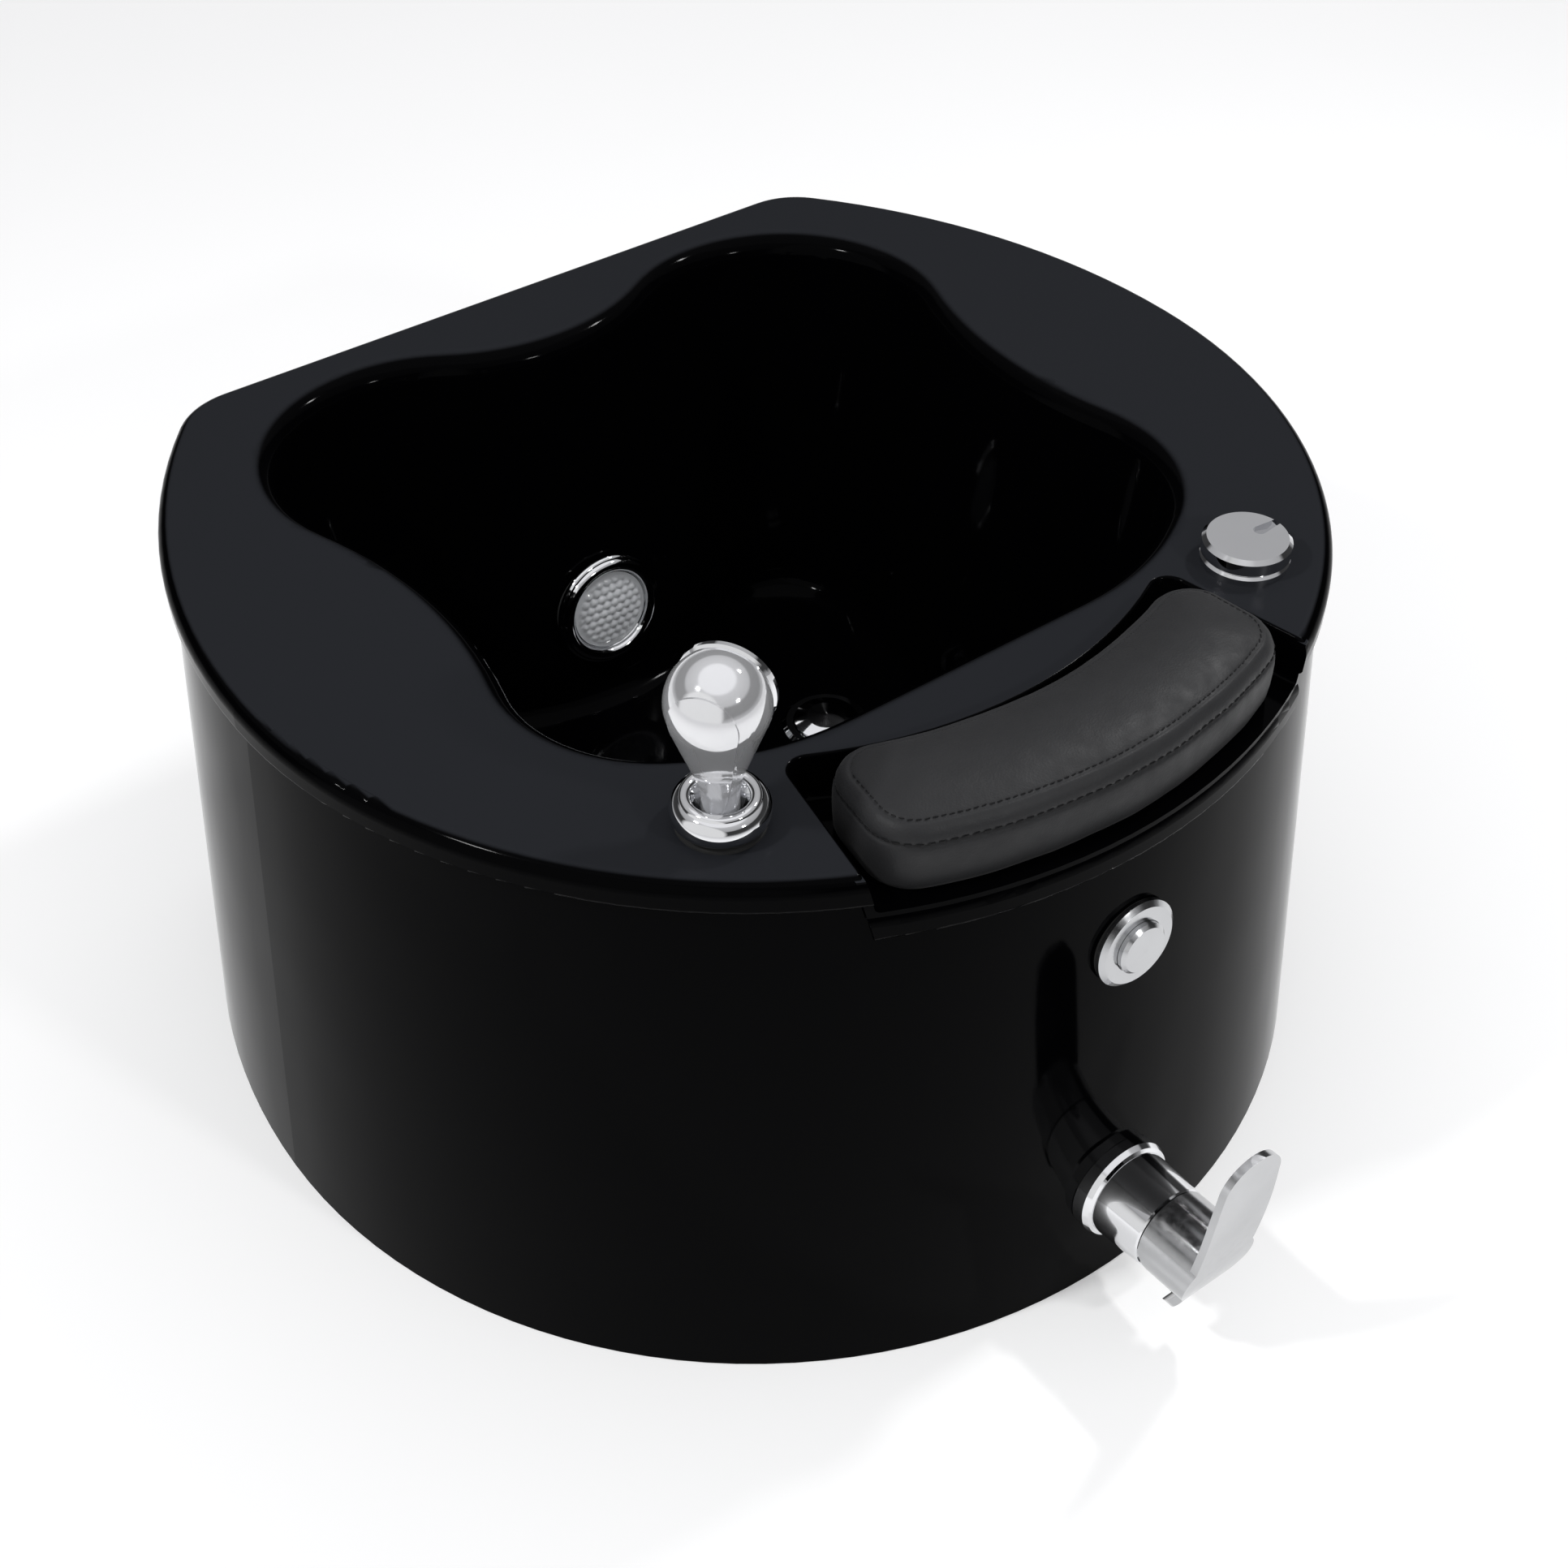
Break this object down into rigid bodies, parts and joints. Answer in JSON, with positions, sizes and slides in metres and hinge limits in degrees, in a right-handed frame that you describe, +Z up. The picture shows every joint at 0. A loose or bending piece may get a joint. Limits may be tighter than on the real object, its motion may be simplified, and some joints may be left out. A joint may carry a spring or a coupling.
{
  "type": "pedicure foot spa basin",
  "caption": "D-shaped foot-soaking tub with a lobed bowl, padded footrest, hand shower, drain knob, air button, lever mixer and underwater light.",
  "frame": {"origin": "on the floor, under the centre of the tub's round front", "axes": "+Z up, +Y towards the flat back, -Y towards the round front with the mixer, +X towards the drain knob's side"},
  "size_m": [0.764, 0.7746, 0.5],
  "materials": {
    "gloss_black": "high-gloss black gel coat",
    "leather_black": "satin black leatherette with fine grain and black stitching",
    "chrome": "polished chrome plate",
    "clear_lens": "clear moulded lens",
    "lamp_white": "white lamp module",
    "rubber_black": "matt black rubber",
    "nylon_black": "matt black moulded plastic",
    "board_black": "matt black sheet",
    "steel": "zinc-plated steel",
    "brass": "plain brass",
    "braided_hose": "braided hose cover",
    "clear_tube": "translucent tube"
  },
  "bodies": {
    "tub": {"air_tube": "clear_tube", "base_board": "board_black", "basin_shell": "gloss_black", "bowl_posts": "board_black", "bracket_screws": "steel", "button_bellows": "rubber_black", "button_gasket": "rubber_black", "button_housing": "chrome", "button_nut": "nylon_black", "cartridge_bonnet": "chrome", "cold_hose": "braided_hose", "cold_inlet": "brass", "collar_nut": "brass", "collar_washer": "rubber_black", "control_box": "nylon_black", "control_box_lid": "nylon_black", "drain_flange": "chrome", "drain_gasket": "rubber_black", "drain_nut": "brass", "drain_socket": "nylon_black", "footrest_board": "board_black", "footrest_cover": "leather_black", "footrest_pegs": "steel", "handset_collar": "chrome", "hot_hose": "braided_hose", "hot_inlet": "brass", "inlet_bracket": "steel", "knob_base": "chrome", "knob_nut": "brass", "light_backing": "rubber_black", "light_bezel": "chrome", "light_cup": "nylon_black", "light_gasket": "rubber_black", "light_lens": "clear_lens", "light_module": "lamp_white", "light_nut": "nylon_black", "mixer_barrel": "chrome", "mixer_cartridge": "nylon_black", "mixer_escutcheon": "chrome", "mixer_nut": "brass", "mixer_valve": "brass", "outer_skirt": "gloss_black", "skirt_brackets": "steel", "waste_pipe": "nylon_black"},
    "handset": {"handset_shell": "chrome", "spray_face": "chrome", "hose_ferrule": "steel", "hose_riser": "rubber_black"},
    "knob": {"drain_knob": "chrome", "cable_pulley": "nylon_black"},
    "plug": {"drain_plug": "chrome"},
    "button": {"button_cap": "chrome"},
    "turner": {"lever_carrier": "brass", "lever_pin": "steel"},
    "lever": {"mixer_lever": "chrome"}
  },
  "joints": [
    {"name": "handset_lift", "type": "slide", "parent": "tub", "child": "handset", "axis": [0, 0, 1], "range_m": [0, 0.12], "deforming": ["hose_riser"]},
    {"name": "knob_turn", "type": "hinge", "parent": "tub", "child": "knob", "pos_m": [0.18892, -0.24008, 0.39], "axis": [0, 0, 1], "range_deg": [0, 90]},
    {"name": "plug_lift", "type": "slide", "parent": "tub", "child": "plug", "axis": [0, 0, 1], "range_m": [0, 0.01]},
    {"name": "button_press", "type": "slide", "parent": "tub", "child": "button", "axis": [0, 0.9969, -0.079], "range_m": [0, 0.004], "stiffness_N_per_m": 500, "springref_m": -0.004},
    {"name": "mixer_turn", "type": "hinge", "parent": "tub", "child": "turner", "pos_m": [0, -0.3759, 0.077], "axis": [0, -0.9969, 0.079], "range_deg": [-45, 45]},
    {"name": "mixer_lift", "type": "hinge", "parent": "turner", "child": "lever", "pos_m": [0, -0.42574, 0.08095], "axis": [1, 0, 0], "range_deg": [0, 18]}
  ],
  "couplings": [
    {"joint": "plug_lift", "follows": "knob_turn", "m_per_rad": 0.006366}
  ]
}
